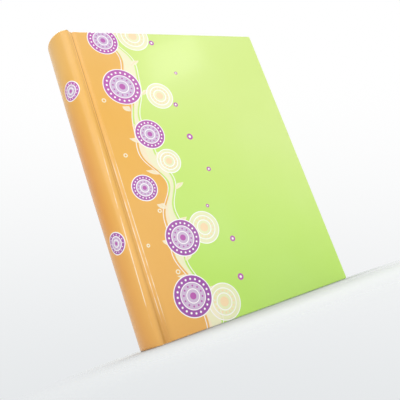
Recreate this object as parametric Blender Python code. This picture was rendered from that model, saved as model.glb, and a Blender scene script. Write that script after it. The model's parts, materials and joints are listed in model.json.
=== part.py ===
"""A hardcover scrapbook album with a rounded hollow spine, standing on its tail with the front cover facing -Y.

The printed wrap is turned in round the boards. Card leaves are hinged to guard strips at the binding edge.
Lengths are metres, +Z runs from tail to head and +X from the spine to the fore-edge.
"""

import math

import bmesh
import bpy
from mathutils import Vector

MM = 0.001

# Leaves and guards: the leaf's format and the number of leaves drive the case
LEAF_DEPTH = 210 * MM
LEAF_HEIGHT = 297 * MM
LEAF_COUNT = 20
LEAF_THICKNESS = 0.6 * MM
LEAF_PITCH = 1.28 * MM
LEAF_CORNER_RADIUS = 4.0 * MM
SCORE_SETBACK = 8.4 * MM
SCORE_CLEARANCE = 0.6 * MM
LEAF_HINGE_CLEARANCE = 0.05 * MM
BLOCK_CLEARANCE = 0.3 * MM
BLOCK_BACK_SETBACK = 5.2 * MM
BACK_ROUND_REACH = 3.5 * MM

# Squares: how far the covers stand out past the leaves
HEAD_AND_TAIL_SQUARE = 4.0 * MM
FORE_EDGE_SQUARE = 3.6 * MM

# Case
BOARD_THICKNESS = 2.4 * MM
WRAP_THICKNESS = 0.45 * MM
WRAP_FOLD_RADIUS = 0.7 * MM
WRAP_FOLD_STEPS = 3
COVER_CORNER_RADIUS = 2.0 * MM
TURN_IN = 15 * MM
CASE_CLEARANCE = 0.3 * MM
CORNER_STEPS = 5

# Joint between the spine and a cover
GROOVE_HALF_WIDTH = 3.4 * MM
GROOVE_DEPTH = 0.9 * MM
GROOVE_STEPS = 12
JOINT_CLEARANCE = 0.3 * MM
HINGE_STAND_OFF = 2.2 * MM

# Spine: it stands proud of the covers, swells a little at mid height and draws in towards the tail
SPINE_SHOULDER_PROUD = 2.7 * MM
SPINE_SHOULDER_SETBACK = 5.6 * MM
SPINE_ROUND_REACH = 12.8 * MM
SPINE_SWELL = 1.6 * MM
SPINE_TAIL_DRAW = 4.1 * MM
SPINE_BOARD_THICKNESS = 1.2 * MM
SPINE_STEPS = 26
SPINE_LEVELS = 8
SPINE_FOLD_ANGLE = 5

# Endpapers
ENDPAPER_THICKNESS = 0.3 * MM
PASTEDOWN_MARGIN = 3.0 * MM
FLYLEAF_FOLD_SETBACK = 4.4 * MM

# Lining and bands
LINING_THICKNESS = 0.5 * MM
LINING_MARGIN = 12 * MM
BAND_RADIUS = 1.0 * MM
BAND_SIDES = 8
BACK_STEPS = 16

# Depths inside a cover, from its outer face
BOARD_INSET = WRAP_THICKNESS + CASE_CLEARANCE
TURN_IN_INSET = BOARD_INSET + BOARD_THICKNESS + CASE_CLEARANCE
COVER_THICKNESS = TURN_IN_INSET + WRAP_THICKNESS
PASTEDOWN_INSET = COVER_THICKNESS + CASE_CLEARANCE
FLYLEAF_INSET = PASTEDOWN_INSET + ENDPAPER_THICKNESS + BLOCK_CLEARANCE
BLOCK_INSET = FLYLEAF_INSET + ENDPAPER_THICKNESS + BLOCK_CLEARANCE

# Places in the album's frame, whose origin is the middle of its foot
BLOCK_Y = LEAF_COUNT * LEAF_PITCH / 2
COVER_Y = BLOCK_Y + BLOCK_INSET
SHOULDER_Y = COVER_Y + SPINE_SHOULDER_PROUD
HINGE_Y = COVER_Y + HINGE_STAND_OFF
COVER_HEIGHT = LEAF_HEIGHT + 2 * HEAD_AND_TAIL_SQUARE
COVER_DEPTH = SCORE_SETBACK + LEAF_DEPTH + FORE_EDGE_SQUARE
GUARD_THICKNESS = LEAF_PITCH - BLOCK_CLEARANCE


def spine_reach(z):
    """How far the spine's ellipse reaches past its shoulders at this height."""
    share = z / COVER_HEIGHT
    return SPINE_ROUND_REACH + SPINE_SWELL * math.sin(math.pi * share) - SPINE_TAIL_DRAW * (1 - share)


def spine_levels(low, high):
    """Heights from low to high at which the spine's section is drawn."""
    return [low + (high - low) * level / SPINE_LEVELS for level in range(SPINE_LEVELS + 1)]


SPINE_APEX = SPINE_SHOULDER_SETBACK + max(spine_reach(z) for z in spine_levels(0, COVER_HEIGHT))
CREASE_X = (SPINE_APEX - COVER_DEPTH) / 2
SHOULDER_X = CREASE_X - SPINE_SHOULDER_SETBACK
SPINE_END_X = CREASE_X - GROOVE_HALF_WIDTH - JOINT_CLEARANCE
COVER_START_X = CREASE_X + GROOVE_HALF_WIDTH + JOINT_CLEARANCE
FOLD_X = CREASE_X + FLYLEAF_FOLD_SETBACK
SCORE_X = CREASE_X + SCORE_SETBACK
LEAF_END_X = SCORE_X + LEAF_DEPTH
FORE_EDGE_X = CREASE_X + COVER_DEPTH
LEAF_TAIL_Z = HEAD_AND_TAIL_SQUARE
LEAF_HEAD_Z = COVER_HEIGHT - HEAD_AND_TAIL_SQUARE

FINISHES = {
    "print": ((0.86, 0.55, 0.20), 0.22),
    "grey_board": ((0.45, 0.42, 0.38), 0.85),
    "endpaper": ((0.92, 0.89, 0.80), 0.7),
    "leaf": ((0.93, 0.91, 0.85), 0.75),
    "guard": ((0.88, 0.85, 0.77), 0.8),
    "cloth": ((0.85, 0.82, 0.74), 0.9),
    "band": ((0.80, 0.45, 0.15), 0.7),
}


def clear_scene():
    for old in list(bpy.data.objects):
        bpy.data.objects.remove(old)


def finish(kind):
    """The material of one kind of paper, board or cloth, made the first time that it is asked for."""
    if kind in bpy.data.materials:
        return bpy.data.materials[kind]
    colour, roughness = FINISHES[kind]
    material = bpy.data.materials.new(kind)
    material.use_nodes = True
    shader = material.node_tree.nodes["Principled BSDF"]
    shader.inputs["Base Color"].default_value = (*colour, 1.0)
    shader.inputs["Roughness"].default_value = roughness
    shader.inputs["Metallic"].default_value = 0.0
    return material


def make_object(name, shape, kind, origin=(0, 0, 0), parent=None):
    """Turns a shape drawn in the album's frame into an object whose origin is at the given point."""
    bmesh.ops.recalc_face_normals(shape, faces=shape.faces)
    bmesh.ops.translate(shape, verts=shape.verts, vec=-Vector(origin))
    mesh = bpy.data.meshes.new(name)
    shape.to_mesh(mesh)
    shape.free()
    mesh.materials.append(finish(kind))
    made = bpy.data.objects.new(name, mesh)
    bpy.context.scene.collection.objects.link(made)
    made.parent = parent
    made.location = Vector(origin) - (parent.location if parent else Vector())
    return made


def make_empty(name, location):
    empty = bpy.data.objects.new(name, None)
    empty.location = location
    bpy.context.scene.collection.objects.link(empty)
    return empty


def cut(target, shape):
    """Takes a shape's space out of an object and leaves the shape hidden beside it."""
    cutter = make_object(f"{target.name}_cutter_{len(target.modifiers)}", shape, target.active_material.name)
    cutter.hide_render = True
    cutter.display_type = "WIRE"
    modifier = target.modifiers.new("Cut", "BOOLEAN")
    modifier.operation = "DIFFERENCE"
    modifier.solver = "EXACT"
    modifier.object = cutter


def loft(rings):
    """A closed skin through rings of as many points each, with a flat face on the first and the last."""
    shape = bmesh.new()
    rings = [[shape.verts.new(point) for point in ring] for ring in rings]
    for first, second in zip(rings, rings[1:]):
        for here in range(len(first)):
            after = (here + 1) % len(first)
            shape.faces.new((first[here], first[after], second[after], second[here]))
    shape.faces.new(rings[0])
    shape.faces.new(rings[-1])
    return shape


def plan_prism(points, low, high):
    """A closed outline in plan, given as x and y, raised from one height to another."""
    return loft([[(x, y, z) for x, y in points] for z in (low, high)])


def corner(centre_x, centre_z, radius, start):
    """Points along a quarter turn in the XZ plane, from a start angle in degrees."""
    for step in range(CORNER_STEPS + 1):
        angle = math.radians(start + 90 * step / CORNER_STEPS)
        yield centre_x + radius * math.cos(angle), centre_z + radius * math.sin(angle)


def panel(start_x, end_x, low, high, near_y, far_y, radius):
    """A flat sheet between two depths, square at the hinge side and with round corners at the fore-edge."""
    outline = [
        (start_x, low),
        *corner(end_x - radius, low + radius, radius, -90),
        *corner(end_x - radius, high - radius, radius, 0),
        (start_x, high),
    ]
    return loft([[(x, y, z) for x, z in outline] for y in (near_y, far_y)])


def mirrored(points):
    """Plan points of the front side, moved to the back side."""
    return [(x, -y) for x, y in points]


def groove_y(x):
    """The front skin's depth where it dips from the spine's shoulder into the crease and rises to the cover."""
    bottom = -COVER_Y + GROOVE_DEPTH
    rim = -SHOULDER_Y if x < CREASE_X else -COVER_Y
    width = SPINE_SHOULDER_SETBACK if x < CREASE_X else GROOVE_HALF_WIDTH
    share = abs(x - CREASE_X) / width
    return bottom + (rim - bottom) * (1 - math.cos(math.pi * share)) / 2


def groove_line(start_x, end_x, inset):
    """Plan points along the front groove's skin, drawn this far inside it."""
    points = []
    nudge = (end_x - start_x) / GROOVE_STEPS / 10
    for step in range(GROOVE_STEPS + 1):
        x = start_x + (end_x - start_x) * step / GROOVE_STEPS
        slope = (groove_y(x + nudge) - groove_y(x - nudge)) / (2 * nudge)
        normal = Vector((-slope, 1)).normalized()
        points.append((x + normal.x * inset, groove_y(x) + normal.y * inset))
    return points


def spine_line(z, inset, start=0):
    """Plan points of half an ellipse round the spine, from front to back, drawn this far inside its skin.

    The start angle, in degrees, keeps both ends that far from the shoulders.
    """
    points = []
    for step in range(SPINE_STEPS + 1):
        angle = math.radians(start + (180 - 2 * start) * step / SPINE_STEPS)
        across = (spine_reach(z) - inset) * math.sin(angle)
        points.append((SHOULDER_X - across, -(SHOULDER_Y - inset) * math.cos(angle)))
    return points


def spine_band(outer_inset, inner_inset, start, low, high):
    """The curved wall between two insets of the spine's skin."""
    rings = []
    for z in spine_levels(low, high):
        plan = spine_line(z, outer_inset, start) + spine_line(z, inner_inset, start)[::-1]
        rings.append([(x, y, z) for x, y in plan])
    return loft(rings)


def spine_skin(thickness):
    """The spine's print before it is hollowed: thin on the shoulders' slopes, and this thick round the spine."""
    slope = groove_line(SHOULDER_X, SPINE_END_X, 0)[1:]
    under = groove_line(SHOULDER_X, SPINE_END_X, WRAP_THICKNESS)
    rings = []
    for z in spine_levels(0, COVER_HEIGHT):
        outer = slope[::-1] + spine_line(z, 0) + mirrored(slope)
        inner = under[::-1] + spine_line(z, thickness) + mirrored(under)
        rings.append([(x, y, z) for x, y in outer + inner[::-1]])
    return loft(rings)


def spine_hollow(inset, low, high):
    """The space inside the spine, out past the step between its round wall and the shoulders' slopes."""
    mouth_x = SHOULDER_X + SPINE_SHOULDER_SETBACK / 4
    rings = []
    for z in spine_levels(low, high):
        plan = [(mouth_x, -COVER_Y), *spine_line(z, inset), (mouth_x, COVER_Y)]
        rings.append([(x, y, z) for x, y in plan])
    return loft(rings)


def add_spine():
    """The hollow spine: a rounded card, with the print turned in over it at head and tail."""
    card_inner = BOARD_INSET + SPINE_BOARD_THICKNESS
    turn_in = card_inner + CASE_CLEARANCE
    wrap = make_object("spine_wrap", spine_skin(turn_in + WRAP_THICKNESS), "print")
    pocket_top = COVER_HEIGHT - WRAP_THICKNESS
    cut(wrap, spine_band(WRAP_THICKNESS, turn_in, SPINE_FOLD_ANGLE, WRAP_THICKNESS, pocket_top))
    skin_inset = WRAP_THICKNESS + CASE_CLEARANCE / 2
    cut(wrap, spine_hollow(skin_inset, TURN_IN, COVER_HEIGHT - TURN_IN))
    card_top = COVER_HEIGHT - BOARD_INSET
    card = spine_band(BOARD_INSET, card_inner, 2 * SPINE_FOLD_ANGLE, BOARD_INSET, card_top)
    make_object("spine_board", card, "grey_board")


def add_joint(label, side):
    """The strip of print that lies in one groove and joins the spine to a cover."""
    start_x = CREASE_X - GROOVE_HALF_WIDTH
    end_x = CREASE_X + GROOVE_HALF_WIDTH
    section = groove_line(start_x, end_x, 0) + groove_line(start_x, end_x, WRAP_THICKNESS)[::-1]
    if side > 0:
        section = mirrored(section)
    make_object(f"{label}_joint_wrap", plan_prism(section, 0, COVER_HEIGHT), "print")


def cover_skin(depth):
    """A cover's print before it is hollowed, with round folds everywhere but at the hinge side."""
    shape = panel(
        COVER_START_X, FORE_EDGE_X, 0, COVER_HEIGHT, depth(0), depth(COVER_THICKNESS), COVER_CORNER_RADIUS
    )
    folds = [
        edge for edge in shape.edges
        if abs(edge.verts[0].co.y - edge.verts[1].co.y) < WRAP_FOLD_RADIUS
        and any(vert.co.x > COVER_START_X + WRAP_FOLD_RADIUS for vert in edge.verts)
    ]
    bmesh.ops.bevel(
        shape, geom=folds, offset=WRAP_FOLD_RADIUS, segments=WRAP_FOLD_STEPS, profile=0.5, affect="EDGES"
    )
    return shape


def add_cover(label, side):
    """One cover on its hinge: the board, the print turned in round it, and the pastedown over the turn-ins."""
    hinge = make_empty(f"{label}_cover_hinge", (CREASE_X, side * HINGE_Y, 0))

    def depth(inset):
        return side * (COVER_Y - inset)

    wrap = make_object(f"{label}_cover_wrap", cover_skin(depth), "print", hinge.location, hinge)
    cut(wrap, panel(
        COVER_START_X - TURN_IN, FORE_EDGE_X - WRAP_THICKNESS,
        WRAP_THICKNESS, COVER_HEIGHT - WRAP_THICKNESS,
        depth(WRAP_THICKNESS), depth(TURN_IN_INSET), COVER_CORNER_RADIUS - WRAP_THICKNESS,
    ))
    cut(wrap, panel(
        COVER_START_X - TURN_IN, FORE_EDGE_X - TURN_IN, TURN_IN, COVER_HEIGHT - TURN_IN,
        depth(TURN_IN_INSET - CASE_CLEARANCE), depth(COVER_THICKNESS + CASE_CLEARANCE), COVER_CORNER_RADIUS,
    ))
    board = panel(
        COVER_START_X, FORE_EDGE_X - BOARD_INSET, BOARD_INSET, COVER_HEIGHT - BOARD_INSET,
        depth(BOARD_INSET), depth(BOARD_INSET + BOARD_THICKNESS), COVER_CORNER_RADIUS - BOARD_INSET,
    )
    make_object(f"{label}_board", board, "grey_board", hinge.location, hinge)
    pastedown = panel(
        FOLD_X, FORE_EDGE_X - PASTEDOWN_MARGIN, PASTEDOWN_MARGIN, COVER_HEIGHT - PASTEDOWN_MARGIN,
        depth(PASTEDOWN_INSET), depth(PASTEDOWN_INSET + ENDPAPER_THICKNESS), COVER_CORNER_RADIUS,
    )
    make_object(f"{label}_pastedown", pastedown, "endpaper", hinge.location, hinge)


def add_flyleaf(label, side):
    """The free endpaper, which turns at its fold beside the groove."""
    outer = side * (COVER_Y - FLYLEAF_INSET)
    inner = side * (COVER_Y - FLYLEAF_INSET - ENDPAPER_THICKNESS)
    sheet = panel(
        FOLD_X + LEAF_HINGE_CLEARANCE, LEAF_END_X, LEAF_TAIL_Z, LEAF_HEAD_Z, outer, inner, LEAF_CORNER_RADIUS
    )
    make_object(f"{label}_flyleaf", sheet, "endpaper", (FOLD_X, (outer + inner) / 2, 0))


def block_back_x(y):
    """Where the guards end at the block's rounded back, at this depth."""
    share = y / BLOCK_Y
    return CREASE_X - BLOCK_BACK_SETBACK - BACK_ROUND_REACH * (1 - share * share)


def add_leaf(number):
    """A leaf that turns on its score, and the guard beside it, whose back end follows the rounded back."""
    middle = (number - (LEAF_COUNT + 1) / 2) * LEAF_PITCH
    front = middle - GUARD_THICKNESS / 2
    back = middle + GUARD_THICKNESS / 2
    guard_end_x = SCORE_X - SCORE_CLEARANCE
    plan = [
        (block_back_x(front), front),
        (guard_end_x, front),
        (guard_end_x, back),
        (block_back_x(back), back),
    ]
    make_object(f"guard_{number:02d}", plan_prism(plan, LEAF_TAIL_Z, LEAF_HEAD_Z), "guard")
    leaf = panel(
        SCORE_X + LEAF_HINGE_CLEARANCE, LEAF_END_X, LEAF_TAIL_Z, LEAF_HEAD_Z,
        middle - LEAF_THICKNESS / 2, middle + LEAF_THICKNESS / 2, LEAF_CORNER_RADIUS,
    )
    make_object(f"leaf_{number:02d}", leaf, "leaf", (SCORE_X, middle, 0))


def back_line(gap):
    """Plan points this far behind the block's rounded back, with the way out from it at each."""
    for step in range(BACK_STEPS + 1):
        y = BLOCK_Y * (2 * step / BACK_STEPS - 1)
        slope = 2 * BACK_ROUND_REACH * y / BLOCK_Y**2
        out = Vector((-1, slope)).normalized()
        yield Vector((block_back_x(y), y)) + out * gap, out


def add_lining():
    """The cloth over the back of the guards, short of head and tail."""
    inner = [point for point, _ in back_line(BLOCK_CLEARANCE)]
    outer = [point for point, _ in back_line(BLOCK_CLEARANCE + LINING_THICKNESS)]
    cloth = plan_prism(outer + inner[::-1], LEAF_TAIL_Z + LINING_MARGIN, LEAF_HEAD_Z - LINING_MARGIN)
    make_object("spine_lining", cloth, "cloth")


def add_band(name, height):
    """A small round band that follows the rounded back at one end of the block."""
    rings = []
    for point, out in back_line(BLOCK_CLEARANCE + BAND_RADIUS):
        ring = []
        for side in range(BAND_SIDES):
            angle = 2 * math.pi * side / BAND_SIDES
            place = point + out * BAND_RADIUS * math.cos(angle)
            ring.append((place.x, place.y, height + BAND_RADIUS * math.sin(angle)))
        rings.append(ring)
    band = make_object(name, loft(rings), "band")
    band.data.shade_smooth()


def build_album():
    clear_scene()
    add_spine()
    for label, side in (("front", -1), ("back", 1)):
        add_joint(label, side)
        add_cover(label, side)
        add_flyleaf(label, side)
    for number in range(1, LEAF_COUNT + 1):
        add_leaf(number)
    add_lining()
    add_band("tailband", LEAF_TAIL_Z + BAND_RADIUS)
    add_band("headband", LEAF_HEAD_Z - BAND_RADIUS)


build_album()
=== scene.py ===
import json
import math
import bmesh
import bpy
from mathutils import Matrix, Vector


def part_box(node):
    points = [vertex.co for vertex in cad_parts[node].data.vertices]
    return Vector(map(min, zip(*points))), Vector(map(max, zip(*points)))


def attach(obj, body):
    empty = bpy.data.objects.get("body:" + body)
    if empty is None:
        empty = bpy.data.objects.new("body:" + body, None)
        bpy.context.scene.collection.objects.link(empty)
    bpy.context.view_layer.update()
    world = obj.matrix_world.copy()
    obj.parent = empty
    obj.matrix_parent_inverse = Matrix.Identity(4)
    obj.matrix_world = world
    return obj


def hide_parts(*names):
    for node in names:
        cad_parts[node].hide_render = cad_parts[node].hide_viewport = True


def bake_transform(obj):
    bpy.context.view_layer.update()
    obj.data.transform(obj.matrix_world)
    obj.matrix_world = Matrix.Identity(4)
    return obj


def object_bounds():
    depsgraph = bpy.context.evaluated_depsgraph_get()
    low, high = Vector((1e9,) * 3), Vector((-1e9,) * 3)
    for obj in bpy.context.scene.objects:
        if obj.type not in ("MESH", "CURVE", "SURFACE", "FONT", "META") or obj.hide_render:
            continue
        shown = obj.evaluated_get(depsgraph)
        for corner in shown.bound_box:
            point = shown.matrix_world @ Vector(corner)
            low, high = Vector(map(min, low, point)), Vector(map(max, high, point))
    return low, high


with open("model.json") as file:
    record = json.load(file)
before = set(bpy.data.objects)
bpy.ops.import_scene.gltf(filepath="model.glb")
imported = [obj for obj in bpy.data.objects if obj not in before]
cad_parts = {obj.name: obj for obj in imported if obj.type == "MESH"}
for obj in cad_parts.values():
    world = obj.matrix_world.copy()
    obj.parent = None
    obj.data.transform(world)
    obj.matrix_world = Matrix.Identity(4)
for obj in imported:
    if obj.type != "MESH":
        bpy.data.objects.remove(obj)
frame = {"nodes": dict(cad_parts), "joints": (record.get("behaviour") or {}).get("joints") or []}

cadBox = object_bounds()
mm = 0.001
fullTurn = 2 * math.pi


class Wire:
    def __init__(self, finish, socket):
        self.finish = finish
        self.socket = socket

    def math(self, operation, *others):
        return self.finish.math(operation, self, *others)

    def __add__(self, other):
        return self.finish.math("ADD", self, other)

    def __radd__(self, other):
        return self.finish.math("ADD", other, self)

    def __sub__(self, other):
        return self.finish.math("SUBTRACT", self, other)

    def __rsub__(self, other):
        return self.finish.math("SUBTRACT", other, self)

    def __mul__(self, other):
        return self.finish.math("MULTIPLY", self, other)

    def __rmul__(self, other):
        return self.finish.math("MULTIPLY", other, self)

    def __truediv__(self, other):
        return self.finish.math("DIVIDE", self, other)

    def __rtruediv__(self, other):
        return self.finish.math("DIVIDE", other, self)

    def __abs__(self):
        return self.finish.math("ABSOLUTE", self)


class Finish:
    def __init__(self, owner):
        owner.use_nodes = True
        self.owner = owner
        self.tree = owner.node_tree
        self.tree.nodes.clear()

    def node(self, kind, settings, sockets, output=0):
        made = self.tree.nodes.new(f"ShaderNode{kind}")
        for key, value in settings.items():
            setattr(made, key, value)
        for key, value in sockets.items():
            if isinstance(value, Wire):
                self.tree.links.new(value.socket, made.inputs[key])
            else:
                made.inputs[key].default_value = value
        return Wire(self, made.outputs[output]) if made.outputs else None

    def math(self, operation, *values):
        return self.node("Math", dict(operation=operation), dict(enumerate(values)))

    def mix(self, factor, first, second):  # sockets 6, 7 and 2 are the node's colours
        return self.node("Mix", dict(data_type="RGBA"), {0: factor, 6: first, 7: second}, 2)

    def step(self, value, low, high):
        sockets = {"Value": value, "From Min": low, "From Max": high}
        return self.node("MapRange", dict(interpolation_type="SMOOTHSTEP"), sockets)

    def noise(self, place, grain, detail=2):
        return self.node("TexNoise", {}, {"Vector": place, "Scale": grain, "Detail": detail})

    def axis(self, place, name):
        return self.node("SeparateXYZ", {}, {0: place}, name)

    def objectPlace(self):
        return self.node("TexCoord", {}, {}, "Object")

    def sheetPlace(self):
        return self.node("UVMap", dict(uv_map="sheet"), {})

    def surface(self, colour, detail, look, dulling=None):  # detail also dulls, if nothing else does
        bump = {"Height": detail, "Distance": look["bumpDepth"], "Strength": look["bumpStrength"]}
        roughness = look["roughness"] + look["roughSpread"] * (dulling or detail)
        sockets = {"Base Color": colour, "Roughness": roughness, "Normal": self.node("Bump", {}, bump)}
        shader = self.node("BsdfPrincipled", {}, sockets | look.get("sheen", {}))
        self.node("OutputMaterial", {}, {"Surface": shader})
        return self.owner


def newFinish(name):
    return Finish(bpy.data.materials.new(name))


def tint(red, green, blue):  # screen levels to linear shares
    shares = [level / 255 for level in (red, green, blue)]
    return (*(s / 12.92 if s < 0.04 else ((s + 0.055) / 1.055) ** 2.4 for s in shares), 1.0)


# Sizes read from the frame, and the spine's form
hinge = next(joint for joint in frame["joints"] if joint["name"] == "front_cover_hinge")
coverLow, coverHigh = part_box("front_cover_wrap")
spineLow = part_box("spine_wrap")[0]
creaseX = hinge["pos_m"][0]
coverY = -coverLow.y
coverThickness = coverHigh.y - coverLow.y
foreEdgeX = coverHigh.x
height = coverHigh.z
shoulderY = -spineLow.y
leafCount = sum(name.startswith("leaf_") for name in frame["nodes"])
spineForm = dict(
    setback=5.6 * mm, reach=12.78 * mm, swell=1.6 * mm, tailDraw=4.1 * mm,
    grooveWidth=3.4 * mm, grooveDepth=0.9 * mm,
    creases=(1.0 * mm, 3.7 * mm), creaseDepth=0.12 * mm, creaseWidth=0.22 * mm,
)
shoulderX = creaseX - spineForm["setback"]


def spineReach(z):
    form = spineForm
    share = z / height
    return form["reach"] + form["swell"] * math.sin(math.pi * share) - form["tailDraw"] * (1 - share)


def spinePoint(angle, z, inset):
    across = (spineReach(z) - inset) * math.sin(angle)
    return shoulderX - across, -(shoulderY - inset) * math.cos(angle)


def faceY(x):  # the front skin's depth over the groove and the cover
    form = spineForm
    bottom = -coverY + form["grooveDepth"]
    rim, width = (-shoulderY, form["setback"]) if x < creaseX else (-coverY, form["grooveWidth"])
    share = min(1, abs(x - creaseX) / width)
    pressed = sum(math.exp(-((x - creaseX - c) / form["creaseWidth"]) ** 2) for c in form["creases"])
    return bottom + (rim - bottom) * (1 - math.cos(math.pi * share)) / 2 + form["creaseDepth"] * pressed


def pathLength(point, start, end, steps=80):
    places = [Vector(point(start + (end - start) * i / steps)) for i in range(steps + 1)]
    return sum((b - a).length for a, b in zip(places, places[1:]))


def spineSheet(angle):  # how far a point lies from the spine's middle on the flat sheet, front positive
    length = pathLength(lambda a: spinePoint(a, height / 2, 0), angle, math.pi / 2)
    return math.copysign(length, math.pi / 2 - angle)


def faceSheet(x):  # the same for a point on the groove or the cover
    return spineSheet(0) + pathLength(lambda place: (place, faceY(place)), shoulderX, x)


creaseSheet = faceSheet(creaseX)
edgeSheet = creaseSheet + foreEdgeX - creaseX

# The print, in millimetres on the flat sheet; a span runs from none to all, a wave has a length and a phase,
# patches have a grain, its detail and a span, and a share says how much of the layer covers what is under it
printLook = dict(
    softness=0.16, white=tint(253, 251, 250), cream=tint(247, 238, 210), peach=tint(248, 220, 176),
    # the paler lime is painted glare, towards the head and the fore-edge
    lime=tint(189, 230, 103), paleLime=tint(209, 232, 128), limeLean=0.4, limeSpan=(40, 300),
    orange=tint(236, 179, 81), tailOrange=tint(235, 178, 93), headOrange=tint(236, 182, 92),
    tailSpan=(20, 170), headSpan=(210, 290),
    # the spine's deeper orange is partly painted shade, lighter towards the head
    spineOrange=tint(234, 158, 56), spineSpan=(26, 4), spineFall=(270, 170),
    spineRise=(40, 140), spineLeast=0.6,
    purple=tint(186, 92, 176), violet=tint(158, 82, 168), lilac=tint(208, 186, 214), purpleSpan=(20, 260),
    band=dict(width=40, swing=6, swingWave=(118, 0.7), ripple=2, rippleWave=(47, 2.0)),
    ribbon=dict(width=4.2, swell=2.4, swellWave=(83, 1.1), shift=3, drift=2, driftWave=(64, 0.2), share=0.85),
    ribbonLine=dict(gap=2.4, width=0.9, share=0.9),
    sprigs=dict(pitch=17, lean=(0.82, 0.57), away=12, halfWidth=2.6, halfLength=7, vein=0.25, share=0.85),
    rowSway=2.4, rowSize=(1.7, 1),  # how the motifs of a row differ from one to the next
    rings=dict(pitch=29, start=11, middle=22, sway=12, radius=2.0, spread=0.5),
    dots=dict(pitch=37, start=16, middle=92, sway=9, radius=2.6, spread=0.8),
    paleMedallions=dict(pitch=71, start=-18, middle=66, sway=8, radius=15, spread=2.5),
    medallions=dict(pitch=53, start=4, middle=37, sway=13, radius=15.5, spread=3.5),
    spineMedallions=dict(pitch=150, start=18, middle=11, sway=3, radius=8.5, spread=1),
    ringPart=dict(reach=0.8, line=1.0), dotHeart=0.4,
    palePart=dict(share=0.75, rings=(0.98, 0.72, 0.45), line=0.9, beads=(0.58, 16), bead=0.9, heart=0.26),
    fullPart=dict(
        rim=0.9, field=0.66, rings=(0.66, 0.34), line=0.8, outerBeads=0.83, outerBead=0.055,
        innerBeads=0.5, innerBead=0.05, innerCount=0.6, heart=0.17,
    ),
    beadCounts=dict(medallions=20, spineMedallions=14),
    cloudGrain=9, cloudSpan=(0.3, 0.8), cloudShare=0.05,
    peelGrain=1400, swellGrain=60, swell=3, peelDetail=1, bumpDepth=0.03 * mm, bumpStrength=0.35,
    roughness=0.2, roughSpread=0.1,
    sheen={"Coat Weight": 0.2, "Coat Roughness": 0.08, "Specular IOR Level": 0.3},
)
# The rubbed spot is wear; the other marks here are painted highlights and painted shade
wearAndLightLook = dict(
    # pressed is the colour of the painted shade in the grooves
    pressed=tint(146, 92, 44),
    edges=dict(width=0.5, patches=(420, 4, 0.35, 0.65), share=0.55),
    rub=dict(colour=tint(126, 88, 60), reach=(8, 2), width=0.9, patches=(520, 3, 0.46, 0.56), share=0.8),
    stretch=dict(colour=tint(255, 201, 113), inward=2.9, reach=(2.9, 1.7), rise=(170, 270), share=0.85),
    soil=dict(inward=1, reach=(10, 2), fall=(55, 8), share=0.2),
    cracks=dict(
        colour=tint(255, 238, 208), spineAngles=(26, 9.5), spineHeight=150, width=0.42,
        fall=(215, 120), rise=(12, 40), patches=(55, 3, 0.3, 0.6), share=0.85,
    ),
    trace=dict(inward=0.3, width=0.3, rise=(40, 190), patches=(70, 3, 0.25, 0.5), share=0.65),
)


class PrintFinish(Finish):
    def __init__(self, name):
        super().__init__(bpy.data.materials.new(name))
        self.place = self.sheetPlace()
        self.sheet = self.axis(self.place, "X") / mm
        self.up = self.axis(self.place, "Y") / mm
        self.out = abs(self.sheet) - creaseSheet / mm  # out from the crease, on either cover
        self.colour = printLook["lime"]

    def lay(self, mask, colour):
        self.colour = self.mix(mask, self.colour, colour)

    def inside(self, value):
        return self.step(value, -printLook["softness"], printLook["softness"])

    def wave(self, length, phase):
        return (self.up * (fullTurn / length) + phase).math("SINE")

    def patches(self, grain, detail, low, high):
        return self.step(self.noise(self.place, grain, detail), low, high)

    def roundels(self, side, pitch, start, middle, sway, radius, spread):
        sizeTurn, sizePhase = printLook["rowSize"]
        row = ((self.up - start) / pitch).math("FLOOR")
        along = self.up - start - (row + 0.5) * pitch
        across = side - middle - sway * (row * printLook["rowSway"]).math("SINE")
        size = radius + spread * (row * sizeTurn + sizePhase).math("SINE")
        return (across * across + along * along).math("SQRT"), self.math("ARCTAN2", along, across), size

    def ring(self, reach, radius, width):
        return self.inside(width / 2 - abs(reach - radius))

    def beads(self, reach, turn, radius, count, size):
        cell = (turn * (count / fullTurn)).math("FRACT") - 0.5
        arc = cell * (fullTurn / count) * radius
        gap = reach - radius
        return self.inside(size - (arc * arc + gap * gap).math("SQRT"))


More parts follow.
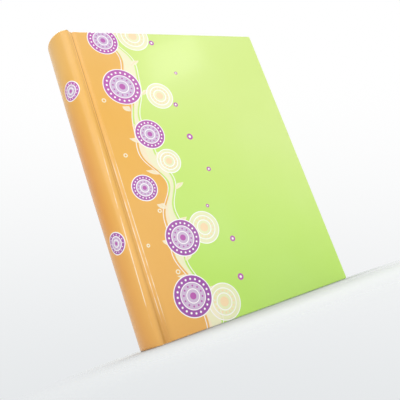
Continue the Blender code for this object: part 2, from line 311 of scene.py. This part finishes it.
def layFields(art):  # the lime and orange fields, with painted glare on the lime and painted shade on the spine, and the ribbon and sprigs between them
    look = printLook
    band, ribbon, line, sprigs = (look[part] for part in ("band", "ribbon", "ribbonLine", "sprigs"))
    # painted glare: the lime turns paler towards the head and the fore-edge
    art.lay(art.step(art.up + look["limeLean"] * art.out, *look["limeSpan"]), look["paleLime"])
    orange = art.mix(art.step(art.up, *look["tailSpan"]), look["tailOrange"], look["orange"])
    orange = art.mix(art.step(art.up, *look["headSpan"]), orange, look["headOrange"])
    # painted shade on the spine: a deeper orange, fading out towards the head and kept in part towards the
    # tail
    spineShadeShare = art.step(abs(art.sheet), *look["spineSpan"]) * art.step(art.up, *look["spineFall"])
    spineRise = look["spineLeast"] + (1 - look["spineLeast"]) * art.step(art.up, *look["spineRise"])
    orange = art.mix(spineShadeShare * spineRise, orange, look["spineOrange"])
    edge = band["width"] + band["swing"] * art.wave(*band["swingWave"])
    edge = edge + band["ripple"] * art.wave(*band["rippleWave"])
    art.lay(art.inside(edge - art.out), orange)

    width = ribbon["width"] + ribbon["swell"] * art.wave(*ribbon["swellWave"])
    beyond = art.out - edge - ribbon["shift"]
    drift = abs(beyond - ribbon["drift"] * art.wave(*ribbon["driftWave"]))
    art.lay(art.inside(width - drift) * ribbon["share"], look["cream"])
    art.lay(art.ring(drift, width + line["gap"], line["width"]) * line["share"], look["white"])

    cosine, sine = sprigs["lean"]
    row = (art.up / sprigs["pitch"]).math("FLOOR")
    sprigUp = art.up - (row + 0.5) * sprigs["pitch"]
    sprigOut = beyond * (row.math("MODULO", 2) * 2 - 1)  # to either side in turn
    along = sprigOut * cosine + sprigUp * sine - sprigs["away"]
    across = sprigUp * cosine - sprigOut * sine
    leaf = sprigs["halfWidth"] * (1 - along * along / sprigs["halfLength"] ** 2) - abs(across)
    art.lay(art.inside(leaf) * sprigs["share"], look["cream"])
    art.lay(art.inside(sprigs["vein"] - abs(across)) * art.inside(leaf), look["peach"])


def layMotifs(art):  # rings, dots and medallions
    look = printLook
    ringPart, pale, full = (look[part] for part in ("ringPart", "palePart", "fullPart"))
    reach, _, size = art.roundels(art.out, **look["rings"])
    art.lay(art.ring(reach, size * ringPart["reach"], ringPart["line"]), look["cream"])
    reach, _, size = art.roundels(art.out, **look["dots"])
    art.lay(art.inside(size - reach), look["purple"])
    art.lay(art.inside(size * look["dotHeart"] - reach), look["white"])

    reach, turn, size = art.roundels(art.out, **look["paleMedallions"])
    beadReach, beadCount = pale["beads"]
    art.lay(art.inside(size - reach) * pale["share"], look["cream"])
    for share in pale["rings"]:
        art.lay(art.ring(reach, size * share, pale["line"]), look["white"])
    art.lay(art.beads(reach, turn, size * beadReach, beadCount, pale["bead"]), look["peach"])
    art.lay(art.inside(size * pale["heart"] - reach), look["peach"])

    purple = art.mix(art.step(art.up, *look["purpleSpan"]), look["violet"], look["purple"])
    for side, row in ((art.out, "medallions"), (art.sheet, "spineMedallions")):
        reach, turn, size = art.roundels(side, **look[row])
        count = look["beadCounts"][row]
        art.lay(art.inside(size + full["rim"] - reach), look["white"])
        art.lay(art.inside(size - reach), purple)
        art.lay(art.inside(size * full["field"] - reach), look["lilac"])
        for share in full["rings"]:
            art.lay(art.ring(reach, size * share, full["line"]), look["white"])
        outer = art.beads(reach, turn, size * full["outerBeads"], count, size * full["outerBead"])
        art.lay(outer, look["white"])
        innerCount = round(count * full["innerCount"])
        inner = art.beads(reach, turn, size * full["innerBeads"], innerCount, size * full["innerBead"])
        art.lay(inner, look["purple"])
        art.lay(art.inside(size * full["heart"] - reach), look["purple"])


def layWearAndLight(art):  # painted highlights on the folded edges, rubbed shoulders, and painted light, shade and highlight lines in the grooves
    edges, rub, stretch, soil, cracks, trace = (
        wearAndLightLook[part] for part in ("edges", "rub", "stretch", "soil", "cracks", "trace")
    )
    below = height / mm - art.up  # below the head
    fold = art.math("MINIMUM", art.up, below).math("MINIMUM", edgeSheet / mm - abs(art.sheet))
    # painted highlight: a pale line along the folded edges, in patches
    edgeLit = art.inside(edges["width"] - abs(fold)) * art.patches(*edges["patches"])
    art.lay(edgeLit * edges["share"], printLook["white"])
    rubbed = art.step(abs(abs(art.sheet) - spineSheet(0) / mm), *rub["reach"])
    rubbed = rubbed * art.inside(rub["width"] - abs(below)) * art.patches(*rub["patches"])
    art.lay(rubbed * rub["share"], rub["colour"])
    # painted light: the groove's shaded slope made paler towards the head
    grooveLit = art.step(abs(art.out + stretch["inward"]), *stretch["reach"])
    grooveLit = grooveLit * art.step(art.up, *stretch["rise"])
    art.lay(grooveLit * stretch["share"], stretch["colour"])
    # painted shade: the groove darker towards the tail
    tailShaded = art.step(abs(art.out + soil["inward"]), *soil["reach"]) * art.step(art.up, *soil["fall"])
    art.lay(tailShaded * soil["share"], wearAndLightLook["pressed"])

    # painted highlights, partly whitened film: pale lines along the spine's shoulder and the creases, fading
    # towards the head and at the tail
    fade = art.step(art.up, *cracks["fall"]) * art.step(art.up, *cracks["rise"])
    fade = fade * art.patches(*cracks["patches"])
    foot, top = (spineSheet(math.radians(angle)) / mm for angle in cracks["spineAngles"])
    lines = [foot + (top - foot) / cracks["spineHeight"] * art.up]
    lines += [faceSheet(creaseX + crease) / mm for crease in spineForm["creases"]]
    for line in lines:
        glintLine = art.inside(cracks["width"] - abs(abs(art.sheet) - line))
        art.lay(glintLine * fade * cracks["share"], cracks["colour"])
    # painted shade: a dark line along the bottom of the crease, fading towards the tail
    creaseShaded = art.inside(trace["width"] - abs(art.out + trace["inward"]))
    creaseShaded = creaseShaded * art.step(art.up, *trace["rise"]) * art.patches(*trace["patches"])
    art.lay(creaseShaded * trace["share"], wearAndLightLook["pressed"])


def printFinish():
    look = printLook
    art = PrintFinish("laminatedPrint")
    layFields(art)
    layMotifs(art)
    layWearAndLight(art)
    cloud = art.noise(art.place, look["cloudGrain"])
    art.lay(art.step(cloud, *look["cloudSpan"]) * look["cloudShare"], look["white"])
    peel = art.noise(art.place, look["peelGrain"], look["peelDetail"])
    swell = art.noise(art.place, look["swellGrain"], look["peelDetail"])
    return art.surface(art.colour, peel + look["swell"] * swell, look, cloud)


boardLook = dict(
    dark=tint(150, 144, 134), light=tint(176, 170, 160), fibre=(900, 5), fibreSpan=(0.3, 0.7),
    fleck=tint(104, 98, 90), fleckGrain=2600, fleckSpan=(0.62, 0.72), fleckShare=0.5,
    roughness=0.8, roughSpread=0.15, bumpDepth=0.1 * mm, bumpStrength=0.5,
)


def boardFinish():
    look = boardLook
    finish = newFinish("greyBoard")
    place = finish.objectPlace()
    fibre = finish.noise(place, *look["fibre"])
    fleck = finish.step(finish.noise(place, look["fleckGrain"]), *look["fleckSpan"])
    colour = finish.mix(finish.step(fibre, *look["fibreSpan"]), look["dark"], look["light"])
    colour = finish.mix(fleck * look["fleckShare"], colour, look["fleck"])
    return finish.surface(colour, fibre, look)


paperLook = dict(
    fibreDetail=5, fibreSpan=(0.5, 1.0), cloudGrain=35, cloudShare=0.5,
    fleck=tint(150, 138, 116), fleckScale=2.3, fleckSpan=(0.66, 0.74), fleckShare=0.22,
    roughSpread=0.12, bumpDepth=0.06 * mm, bumpStrength=0.4,
)
papers = dict(
    endpaper=dict(base=tint(247, 243, 230), shade=tint(243, 238, 224), grain=700, roughness=0.66),
    printReverse=dict(base=tint(250, 248, 242), shade=tint(247, 244, 237), grain=800, roughness=0.6),
    leafCard=dict(base=tint(245, 241, 229), shade=tint(241, 236, 222), grain=1100, roughness=0.72),
    guardCard=dict(base=tint(238, 231, 214), shade=tint(226, 218, 199), grain=900, roughness=0.76),
)


def paperFinish(name):
    look = paperLook | papers[name]
    finish = newFinish(name)
    place = finish.objectPlace()
    fibre = finish.noise(place, look["grain"], look["fibreDetail"])
    cloud = finish.noise(place, look["cloudGrain"])
    fleck = finish.step(finish.noise(place, look["grain"] * look["fleckScale"]), *look["fleckSpan"])
    share = finish.step(fibre + look["cloudShare"] * cloud, *look["fibreSpan"])
    colour = finish.mix(share, look["shade"], look["base"])
    colour = finish.mix(fleck * look["fleckShare"], colour, look["fleck"])
    return finish.surface(colour, fibre, look)


clothLook = dict(
    pitch=0.9 * mm, hollow=tint(176, 166, 146), thread=tint(230, 224, 208), threadSpan=(-0.6, 0.9),
    roughness=0.85, roughSpread=0.1, bumpDepth=0.2 * mm, bumpStrength=0.6,
)


def clothFinish():
    look = clothLook
    finish = newFinish("liningCloth")
    place = finish.objectPlace()
    wefts, warps = ((finish.axis(place, axis) * (fullTurn / look["pitch"])).math("SINE") for axis in "ZY")
    threads = wefts.math("MAXIMUM", warps)
    colour = finish.mix(finish.step(threads, *look["threadSpan"]), look["hollow"], look["thread"])
    return finish.surface(colour, threads, look)


threadLook = dict(
    orange=tint(238, 150, 62), cream=tint(244, 236, 214), stripeWraps=4, stripeSpan=(0.48, 0.52),
    strands=6, twist=4, shade=tint(120, 84, 48), shadeSpan=(-0.2, 1.0), shadeShare=0.3,
    roughness=0.6, roughSpread=0.15, bumpDepth=0.06 * mm, bumpStrength=0.5,
)


def threadFinish():
    look = threadLook
    finish = newFinish("bandThread")
    place = finish.sheetPlace()
    wrap, turn = (finish.axis(place, axis) for axis in "XY")
    strand = ((wrap * look["strands"] + turn * look["twist"]) * fullTurn).math("SINE")
    stripe = finish.step((wrap / look["stripeWraps"]).math("FRACT"), *look["stripeSpan"])
    colour = finish.mix(stripe, look["orange"], look["cream"])
    colour = finish.mix(finish.step(strand, *look["shadeSpan"]) * look["shadeShare"], colour, look["shade"])
    return finish.surface(colour, strand, look)


finishes = dict(laminate=printFinish(), board=boardFinish())
finishes.update({name: paperFinish(name) for name in papers})
finishes.update(cloth=clothFinish(), thread=threadFinish())
print("finishes made")


def addObject(name, data):
    made = bpy.data.objects.new(name, data)
    bpy.context.scene.collection.objects.link(made)
    return made


def newShape():
    shape = bmesh.new()
    return shape, shape.loops.layers.uv.new("sheet")


def makePiece(name, shape, finish):
    mesh = bpy.data.meshes.new(name)
    shape.to_mesh(mesh)
    shape.free()
    mesh.materials.append(finishes[finish])
    piece = addObject(name, mesh)
    return piece


def thicken(piece, thickness, offset, inner=None, sharp=35):
    modifier = piece.modifiers.new("thickness", "SOLIDIFY")
    modifier.thickness = thickness
    modifier.offset = offset
    if inner:
        piece.data.materials.append(finishes[inner])
        modifier.material_offset = 1
    graph = bpy.context.evaluated_depsgraph_get()
    solid = bpy.data.meshes.new_from_object(piece.evaluated_get(graph))
    piece.modifiers.clear()
    piece.data = solid
    solid.shade_smooth()
    solid.set_sharp_from_angle(angle=math.radians(sharp))


def spread(shape, corners, layer):  # one face from (vertex, sheet place) corners
    face = shape.faces.new([vert for vert, _ in corners])
    for loop, (_, place) in zip(face.loops, corners):
        loop[layer].uv = place


def weave(shape, rows, layer):  # quads between rows of such corners
    for first, second in zip(rows, rows[1:]):
        for i in range(len(first) - 1):
            spread(shape, (first[i], first[i + 1], second[i + 1], second[i]), layer)


def ease(share):
    share = max(0.0, min(1.0, share))
    return share * share * (3 - 2 * share)


skinForm = dict(
    fold=0.7 * mm, spineFold=1.8 * mm, foldSteps=8, turnIn=15 * mm, thickness=0.4 * mm,
    grooveThickness=0.9 * mm, spineThickness=2.7 * mm, support=0.5 * mm,
    corner=2.0 * mm, cornerSteps=8, smallCorner=0.2 * mm, seam=3.9 * mm, grooveSteps=56,
    rimStep=0.1 * mm, rimSteps=21, rimEnds=(2.6 * mm, 3.2 * mm), rimRun=3 * mm,
    slopeSteps=24, spineSteps=90, spineLevels=24, shoulderAngle=12, capAngle=60,
)
seamX = creaseX - skinForm["seam"]


def foldProfile(radius, depth):  # inset from the edge, depth below the face, inset on the flat sheet
    form = skinForm
    inner = form["fold"]
    steps = [math.pi / 2 * i / form["foldSteps"] for i in range(form["foldSteps"] + 1)]
    stops = [(radius + form["support"], 0.0)]
    stops += [(radius - radius * math.sin(a), radius - radius * math.cos(a)) for a in steps]
    stops += [(inner - inner * math.cos(a), depth - inner + inner * math.sin(a)) for a in steps]
    stops += [(inner + form["support"], depth), (form["turnIn"], depth)]
    lay = stops[0][0]
    profile = [(*stops[0], lay)]
    for before, after in zip(stops, stops[1:]):
        lay -= math.hypot(after[0] - before[0], after[1] - before[1])
        profile.append((*after, lay))
    return profile


def coverSkin(label, side):
    form = skinForm
    flatX = creaseX + spineForm["grooveWidth"]
    run = [seamX + (flatX - seamX) * i / form["grooveSteps"] for i in range(form["grooveSteps"] + 1)]
    run += [flatX + form["rimStep"] * i for i in range(1, form["rimSteps"] + 1)]
    run += [flatX + end for end in form["rimEnds"]]
    runSheet = [faceSheet(x) for x in run]

    def skinPoint(x, z, depth):  # thin in the groove, as thick as the cover beyond its rim
        share = form["grooveThickness"] / coverThickness
        share += (1 - share) * ease((x - flatX) / form["rimRun"])
        return Vector((x, -side * (faceY(x) + depth * share), z))

    def sheetPoint(u, v):
        return Vector((-side * u, v))

    shape, layer = newShape()
    rows = []
    for inset, depth, lay in foldProfile(form["fold"], coverThickness):
        radius = max(form["corner"] - inset, form["smallCorner"])
        layRadius = max(form["corner"] - lay, form["smallCorner"])
        row = [(x, inset, u, lay) for x, u in zip(run, runSheet)]
        for start, low in ((-90, True), (0, False)):
            for i in range(form["cornerSteps"] + 1):
                angle = math.radians(start + 90 * i / form["cornerSteps"])
                x = foreEdgeX - inset - radius + radius * math.cos(angle)
                z = inset + radius if low else height - inset - radius
                u = edgeSheet - lay - layRadius + layRadius * math.cos(angle)
                v = lay + layRadius if low else height - lay - layRadius
                row.append((x, z + radius * math.sin(angle), u, v + layRadius * math.sin(angle)))
        row += [(x, height - z, u, height - v) for x, z, u, v in row[len(run) - 1::-1]]
        rows.append([(shape.verts.new(skinPoint(x, z, depth)), sheetPoint(u, v)) for x, z, u, v in row])
    weave(shape, rows, layer)
    face = rows[0]
    for i in range(len(run) - 1):
        spread(shape, (face[i + 1], face[i], face[-1 - i], face[-2 - i]), layer)
    spread(shape, face[len(run) - 1:len(face) - len(run) + 1][::-1], layer)  # the flat of the cover
    if side < 0:
        bmesh.ops.reverse_faces(shape, faces=shape.faces)
    piece = makePiece(f"{label}Print", shape, "laminate")
    thicken(piece, form["thickness"], -1, "printReverse")
    # The groove's two bodies and two ends, taken in reverse order for the front
    bodies = ("spine_and_block", f"{label}_cover")
    ends = ((seamX, side * coverY, 0), (creaseX + form["seam"], side * coverY, 0))
    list(bodies[::side])
    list(ends[::side])
    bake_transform(piece)
    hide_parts(f"{label}_cover_wrap", f"{label}_joint_wrap")


def spineSkin():
    form = skinForm
    slope = [seamX + (shoulderX - seamX) * i / form["slopeSteps"] for i in range(form["slopeSteps"])]
    columns = [(("slope", x, -1), faceSheet(x)) for x in slope]
    angles = [math.pi * i / form["spineSteps"] for i in range(form["spineSteps"] + 1)]
    columns += [(("round", angle, 0), spineSheet(angle)) for angle in angles]
    columns += [(("slope", x, 1), -faceSheet(x)) for x in slope[::-1]]

    def columnStops(angle):  # height, depth and height on the flat sheet, from one turn-in to the other
        turn = min(angle, math.pi - angle)
        rounding = ease(turn / math.radians(form["capAngle"]))
        filling = ease(turn / math.radians(form["shoulderAngle"]))
        radius = form["fold"] + (form["spineFold"] - form["fold"]) * rounding
        thickness = form["grooveThickness"] + (form["spineThickness"] - form["grooveThickness"]) * filling
        thin = thickness / coverThickness
        fold = [(inset, depth * thin, lay) for inset, depth, lay in foldProfile(radius, coverThickness)]
        low = fold[0][0]
        stops = fold[::-1]
        for i in range(1, form["spineLevels"]):
            z = low + (height - 2 * low) * i / form["spineLevels"]
            stops.append((z, 0.0, z))
        return stops + [(height - inset, depth, height - lay) for inset, depth, lay in fold]

    shape, layer = newShape()
    rows = []
    for (kind, where, side), u in columns:
        row = []
        for z, depth, v in columnStops(where if kind == "round" else 0.0):
            x, y = spinePoint(where, z, depth) if kind == "round" else (where, -side * (faceY(where) + depth))
            row.append((shape.verts.new((x, y, z)), Vector((u, v))))
        rows.append(row)
    weave(shape, rows, layer)
    piece = makePiece("spinePrint", shape, "laminate")
    thicken(piece, form["thickness"], -1, "printReverse")
    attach(piece, "spine_and_block")
    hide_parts("spine_wrap")


coverSkin("front", -1)
coverSkin("back", 1)
spineSkin()
print("printed skins made")

# Each wave of the cockle: its share, then length and phase steps across the leaf and up it
leafForm = dict(
    corner=4.0 * mm, cornerSteps=6, columns=14, rows=18,
    cockle=0.13 * mm, cockleWaves=((1.0, 3.1, 1.9, 5.2, 2.7), (0.6, 7.3, 0.8, 9.7, 1.3)), cockleRise=3,
    scores=(4.0 * mm, 8.0 * mm), scoreWidth=0.5 * mm, scoreDepth=0.06 * mm, flyleafNumber=31,
)


def sheetPiece(node, body, finish, number, scored):
    form = leafForm
    low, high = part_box(node)
    thickness = high.y - low.y
    middle = (low.y + high.y) / 2
    roundX = high.x - form["corner"]
    drops = {low.x + (roundX - low.x) * i / form["columns"]: 0.0 for i in range(form["columns"] + 1)}
    for step in range(1, form["cornerSteps"] + 1):
        angle = math.pi / 2 * step / form["cornerSteps"]
        drops[roundX + form["corner"] * math.sin(angle)] = form["corner"] * (1 - math.cos(angle))
    pressed = {}
    for score in form["scores"] if scored else ():
        for shift, press in ((-1, 0), (0, 1), (1, 0)):
            x = low.x + score + shift * form["scoreWidth"]
            drops[x] = 0.0
            pressed[x] = press
    shape, layer = newShape()
    rows = []
    for x, drop in sorted(drops.items()):
        row = []
        for step in range(form["rows"] + 1):
            z = low.z + drop + (high.z - low.z - 2 * drop) * step / form["rows"]
            share = (x - low.x) / (high.x - low.x)
            lift = 0.0
            for amount, across, acrossStep, upward, upStep in form["cockleWaves"]:
                swing = math.sin(across * share + acrossStep * number)
                lift += amount * swing * math.sin(upward * z / height + upStep * number)
            y = middle + form["cockle"] * lift * ease(form["cockleRise"] * share)
            y += form["scoreDepth"] * pressed.get(x, 0)
            row.append((shape.verts.new((x, y, z)), Vector((x - low.x, z))))
        rows.append(row)
    weave(shape, rows, layer)
    piece = makePiece(f"{node}_sheet", shape, finish)
    thicken(piece, thickness, 0)
    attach(piece, body)
    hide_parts(node)


for number in range(1, leafCount + 1):
    sheetPiece(f"leaf_{number:02d}", f"leaf_{number:02d}", "leafCard", number, True)
for number, label in enumerate(("front", "back"), leafForm["flyleafNumber"]):
    sheetPiece(f"{label}_flyleaf", f"{label}_flyleaf", "endpaper", number, False)
print("leaves made")

bandForm = dict(
    radius=0.93 * mm, swell=0.05 * mm, wraps=26, stepsPerWrap=6, sides=14, backReach=3.5 * mm,
    endGap=0.4 * mm, endShare=0.3, endSteps=2, weld=0.001 * mm,
)


def wovenBand(node):
    form = bandForm
    low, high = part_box(node)
    middleZ = (low.z + high.z) / 2
    half = min(-low.y, high.y) - form["endGap"]
    apexX = low.x + (high.z - low.z) / 2
    steps = form["wraps"] * form["stepsPerWrap"]
    shape, layer = newShape()
    rows = []
    for step in range(steps + 1):
        share = 2 * step / steps - 1
        slope = Vector((2 * form["backReach"] * share / half, 1)).normalized()
        outward = Vector((-slope.y, slope.x))
        centre = Vector((apexX + form["backReach"] * share * share, half * share))
        wrap = form["wraps"] * step / steps
        closing = ease(min(step, steps - step) / form["endSteps"])
        row = []
        for i in range(form["sides"] + 1):
            turn = i / form["sides"]
            radius = form["radius"] + form["swell"] * math.cos(fullTurn * (wrap + turn))
            radius *= form["endShare"] + (1 - form["endShare"]) * closing
            across = centre + outward * radius * math.cos(fullTurn * turn)
            place = Vector((across.x, across.y, middleZ + radius * math.sin(fullTurn * turn)))
            row.append((shape.verts.new(place), Vector((wrap + turn, turn))))
        rows.append(row)
    weave(shape, rows, layer)
    for row in (rows[0][:-1], rows[-1][:-1]):
        spread(shape, row, layer)
    bmesh.ops.remove_doubles(shape, verts=shape.verts, dist=form["weld"])
    bmesh.ops.recalc_face_normals(shape, faces=shape.faces)
    piece = makePiece(f"{node}_wound", shape, "thread")
    piece.data.shade_smooth()
    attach(piece, "spine_and_block")
    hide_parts(node)


wovenBand("headband")
wovenBand("tailband")

carried = dict(
    board=["front_board", "back_board", "spine_board"],
    endpaper=["front_pastedown", "back_pastedown"],
    guardCard=[f"guard_{number:02d}" for number in range(1, leafCount + 1)],
    cloth=["spine_lining"],
)
for finish, nodes in carried.items():
    for node in nodes:
        mesh = frame["nodes"][node].data
        mesh.materials.clear()
        mesh.materials.append(finishes[finish])
print("bands and carried pieces made")

# Spans in metres: how far from the middle the floor fades, and how far from the album's foot
stageForm = dict(
    floorReach=8.0, floorCells=8, drop=0.1 * mm, floorGrain=(40, 3), floorRoughness=0.8,
    floorColour=tint(178, 181, 182), floorShade=tint(171, 174, 175), openFloor=tint(187, 190, 191),
    middle=(-0.06, -0.16, 0.0), fadeSpan=(0.0, 0.24), openSpan=(0.02, 0.16), contactSpan=(0.0, 0.08),
    ambient=0.64, low=tint(226, 229, 231), white=tint(255, 255, 255),
    rise=(0.16, -0.36, 0.92), riseSpan=(-0.55, 0.25),
)


def viewShare(finish):  # one for rays that show the room itself
    rays = ("Is Camera Ray", "Is Glossy Ray", "Is Transmission Ray")
    cameraRay, glossyRay, clearRay = (finish.node("LightPath", {}, {}, ray) for ray in rays)
    return cameraRay.math("MAXIMUM", glossyRay).math("MAXIMUM", clearRay)


def floorFinish():
    form = stageForm
    finish = newFinish("paleFloor")
    place = finish.objectPlace()
    away = finish.node("VectorMath", dict(operation="DISTANCE"), {0: place, 1: form["middle"]}, "Value")
    gaps = []
    for axis, edge in zip("XY", cadBox[1]):  # how far a point lies outside the foot of the album
        gaps.append((abs(finish.axis(place, axis)) - edge).math("MAXIMUM", 0))
    gap = (gaps[0] * gaps[0] + gaps[1] * gaps[1]).math("SQRT")
    colour = finish.mix(finish.noise(place, *form["floorGrain"]), form["floorColour"], form["floorShade"])
    share = viewShare(finish)
    # painted shade: seen by the camera, the floor stays darker near the album's foot and turns to openFloor
    # away from it
    colour = finish.mix(share * finish.step(gap, *form["openSpan"]), colour, form["openFloor"])
    matt = finish.node("BsdfPrincipled", {}, {"Base Color": colour, "Roughness": form["floorRoughness"]})
    clear = finish.node("BsdfTransparent", {}, {})
    fade = share * finish.step(away, *form["fadeSpan"]) * finish.step(gap, *form["contactSpan"])
    shader = finish.node("MixShader", {}, {0: fade, 1: matt, 2: clear})
    finish.node("OutputMaterial", {}, {"Surface": shader})
    return finish.owner


def makeFloor():
    form = stageForm
    shape = bmesh.new()
    cells = form["floorCells"]
    bmesh.ops.create_grid(shape, x_segments=cells, y_segments=cells, size=form["floorReach"])
    mesh = bpy.data.meshes.new("floor")
    shape.to_mesh(mesh)
    shape.free()
    mesh.materials.append(floorFinish())
    floor = addObject("floor", mesh)
    floor.location.z = -form["drop"]


def makeWorld():
    form = stageForm
    world = bpy.data.worlds.new("whiteRoom")
    bpy.context.scene.world = world
    finish = Finish(world)
    share = viewShare(finish)
    strength = form["ambient"] + (1 - form["ambient"]) * share
    place = finish.node("TexCoord", {}, {}, "Generated")
    # painted shade: the backdrop seen by the camera darkens from white to low against the rise
    lean = finish.node("VectorMath", dict(operation="DOT_PRODUCT"), {0: place, 1: form["rise"]}, "Value")
    rise = finish.step(lean, *form["riseSpan"])
    colour = finish.mix(rise.math("MAXIMUM", 1 - share), form["low"], form["white"])
    glow = finish.node("Background", {}, {"Color": colour, "Strength": strength})
    finish.node("OutputWorld", {}, {"Surface": glow})


lamps = dict(
    key=dict(place=(-0.75, -1.4, 0.85), size=(2.0, 1.2), power=14.6),
    fill=dict(place=(1.3, -1.2, 0.8), size=(1.2, 1.2), power=3.0),
    back=dict(place=(0.2, 0.7, 2.5), size=(1.4, 1.4), power=66.0),
    window=dict(place=(0.78, -1.08, 1.0), size=(0.22, 0.14), power=0.5),
)


def makeLamps():
    aim = Vector((0, 0, height / 2))  # the middle of the album
    for name, form in lamps.items():
        light = bpy.data.lights.new(name, "AREA")
        light.shape = "RECTANGLE"
        light.size, light.size_y = form["size"]
        light.energy = form["power"]
        lamp = addObject(name, light)
        lamp.location = form["place"]
        lamp.rotation_euler = (aim - lamp.location).to_track_quat("-Z", "Y").to_euler()


# Millimetres from where the crease meets the floor, and degrees of roll
cameraForm = dict(
    place=(-178.0, -384.5, 10.0), aim=(76.8, 0.0, 115.4), roll=19.16,
    lens=44.22, sensor=36, clip=1 * mm,
)


def makeCamera():
    form = cameraForm
    data = bpy.data.cameras.new("camera")
    data.lens = form["lens"]
    data.sensor_width = form["sensor"]
    data.clip_start = form["clip"]
    camera = addObject("camera", data)
    foot = Vector((creaseX, -coverY, 0))
    place = foot + Vector(form["place"]) * mm
    facing = (foot + Vector(form["aim"]) * mm - place).to_track_quat("-Z", "Y").to_matrix()
    roll = Matrix.Rotation(-math.radians(form["roll"]), 3, "Z")
    camera.matrix_world = Matrix.Translation(place) @ (facing @ roll).to_4x4()
    bpy.context.scene.camera = camera


makeFloor()
makeWorld()
makeLamps()
makeCamera()
bpy.context.scene.view_settings.view_transform = "Standard"
print("stage made")
